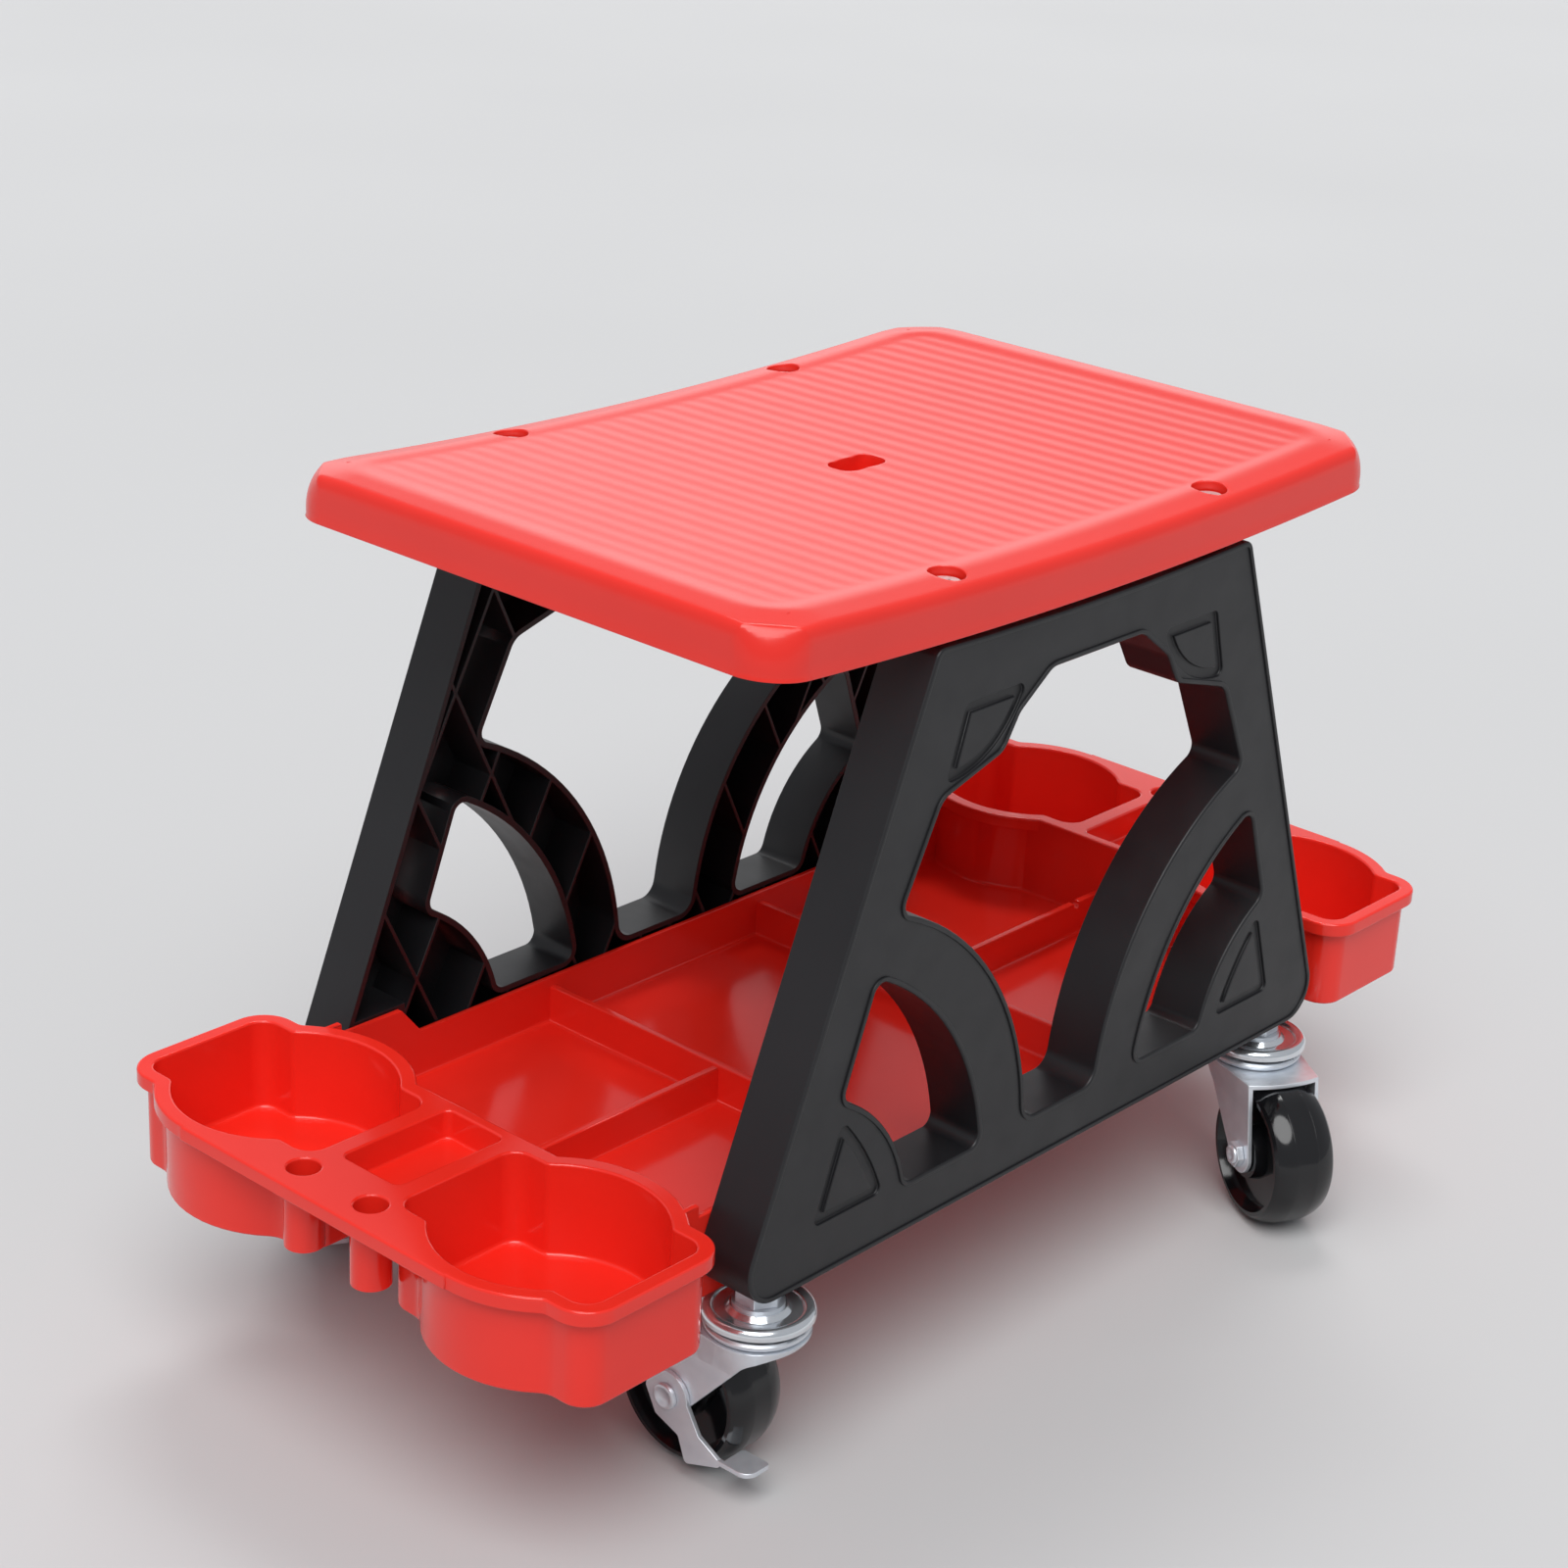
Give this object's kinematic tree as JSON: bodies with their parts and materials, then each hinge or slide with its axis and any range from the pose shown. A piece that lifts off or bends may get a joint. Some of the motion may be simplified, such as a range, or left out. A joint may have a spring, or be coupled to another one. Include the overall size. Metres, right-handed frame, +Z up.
{
  "type": "creeper seat",
  "caption": "Rolling creeper seat: saddle-shaped moulded seat on two openwork side frames, with a lobed tool tray below and swivel casters.",
  "frame": {"origin": "on the floor under the middle of the seat", "axes": "+Z up, X along the seat and tray, Y across; the braked casters are on -X"},
  "size_m": [0.563, 0.334, 0.3451],
  "materials": {
    "red_plastic": "moulded, lightly glossy",
    "black_plastic": "moulded, satin",
    "wheel_black": "hard polished tread",
    "zinc_plate": "bright zinc plating",
    "screw_steel": "bright zinc plating",
    "ball_steel": "polished",
    "bushing_nylon": "natural nylon"
  },
  "bodies": {
    "chassis": {"seat": "red_plastic", "seat_screws": "screw_steel", "side_frame_near": "black_plastic", "side_frame_far": "black_plastic", "tool_tray": "red_plastic", "tray_screws": "screw_steel", "caster_stem_near_left": "zinc_plate", "stem_nut_near_left": "zinc_plate", "stem_washer_near_left": "zinc_plate", "upper_race_near_left": "zinc_plate", "bearing_balls_near_left": "ball_steel", "caster_stem_near_right": "zinc_plate", "stem_nut_near_right": "zinc_plate", "stem_washer_near_right": "zinc_plate", "upper_race_near_right": "zinc_plate", "bearing_balls_near_right": "ball_steel", "caster_stem_far_left": "zinc_plate", "stem_nut_far_left": "zinc_plate", "stem_washer_far_left": "zinc_plate", "upper_race_far_left": "zinc_plate", "bearing_balls_far_left": "ball_steel", "caster_stem_far_right": "zinc_plate", "stem_nut_far_right": "zinc_plate", "stem_washer_far_right": "zinc_plate", "upper_race_far_right": "zinc_plate", "bearing_balls_far_right": "ball_steel"},
    "fork_near_left": {"caster_fork_near_left": "zinc_plate", "axle_bolt_near_left": "zinc_plate", "axle_nut_near_left": "zinc_plate", "axle_bushing_near_left": "bushing_nylon"},
    "wheel_near_left": {"wheel_near_left": "wheel_black"},
    "brake_near_left": {"brake_lever_near_left": "zinc_plate"},
    "fork_near_right": {"caster_fork_near_right": "zinc_plate", "axle_bolt_near_right": "zinc_plate", "axle_nut_near_right": "zinc_plate", "axle_bushing_near_right": "bushing_nylon"},
    "wheel_near_right": {"wheel_near_right": "wheel_black"},
    "fork_far_left": {"caster_fork_far_left": "zinc_plate", "axle_bolt_far_left": "zinc_plate", "axle_nut_far_left": "zinc_plate", "axle_bushing_far_left": "bushing_nylon"},
    "wheel_far_left": {"wheel_far_left": "wheel_black"},
    "brake_far_left": {"brake_lever_far_left": "zinc_plate"},
    "fork_far_right": {"caster_fork_far_right": "zinc_plate", "axle_bolt_far_right": "zinc_plate", "axle_nut_far_right": "zinc_plate", "axle_bushing_far_right": "bushing_nylon"},
    "wheel_far_right": {"wheel_far_right": "wheel_black"}
  },
  "joints": [
    {"name": "swivel_near_left", "type": "hinge", "parent": "chassis", "child": "fork_near_left", "pos_m": [-0.1617, -0.112, 0.0835], "axis": [0, 0, 1], "continuous": true},
    {"name": "roll_near_left", "type": "hinge", "parent": "fork_near_left", "child": "wheel_near_left", "pos_m": [-0.16217, -0.0853, 0.03175], "axis": [-0.9998, -0.0175, 0], "continuous": true},
    {"name": "brake_near_left", "type": "hinge", "parent": "fork_near_left", "child": "brake_near_left", "pos_m": [-0.16217, -0.0853, 0.03175], "axis": [-0.9998, -0.0175, 0], "range_deg": [0, 25]},
    {"name": "swivel_near_right", "type": "hinge", "parent": "chassis", "child": "fork_near_right", "pos_m": [0.1617, -0.112, 0.0835], "axis": [0, 0, 1], "continuous": true},
    {"name": "roll_near_right", "type": "hinge", "parent": "fork_near_right", "child": "wheel_near_right", "pos_m": [0.14892, -0.13544, 0.03175], "axis": [0.878, -0.4787, 0], "continuous": true},
    {"name": "swivel_far_left", "type": "hinge", "parent": "chassis", "child": "fork_far_left", "pos_m": [-0.1617, 0.112, 0.0835], "axis": [0, 0, 1], "continuous": true},
    {"name": "roll_far_left", "type": "hinge", "parent": "fork_far_left", "child": "wheel_far_left", "pos_m": [-0.14892, 0.13544, 0.03175], "axis": [-0.878, 0.4787, 0], "continuous": true},
    {"name": "brake_far_left", "type": "hinge", "parent": "fork_far_left", "child": "brake_far_left", "pos_m": [-0.14892, 0.13544, 0.03175], "axis": [-0.878, 0.4787, 0], "range_deg": [0, 25]},
    {"name": "swivel_far_right", "type": "hinge", "parent": "chassis", "child": "fork_far_right", "pos_m": [0.1617, 0.112, 0.0835], "axis": [0, 0, 1], "continuous": true},
    {"name": "roll_far_right", "type": "hinge", "parent": "fork_far_right", "child": "wheel_far_right", "pos_m": [0.16861, 0.08621, 0.03175], "axis": [0.9659, 0.2588, 0], "continuous": true}
  ]
}
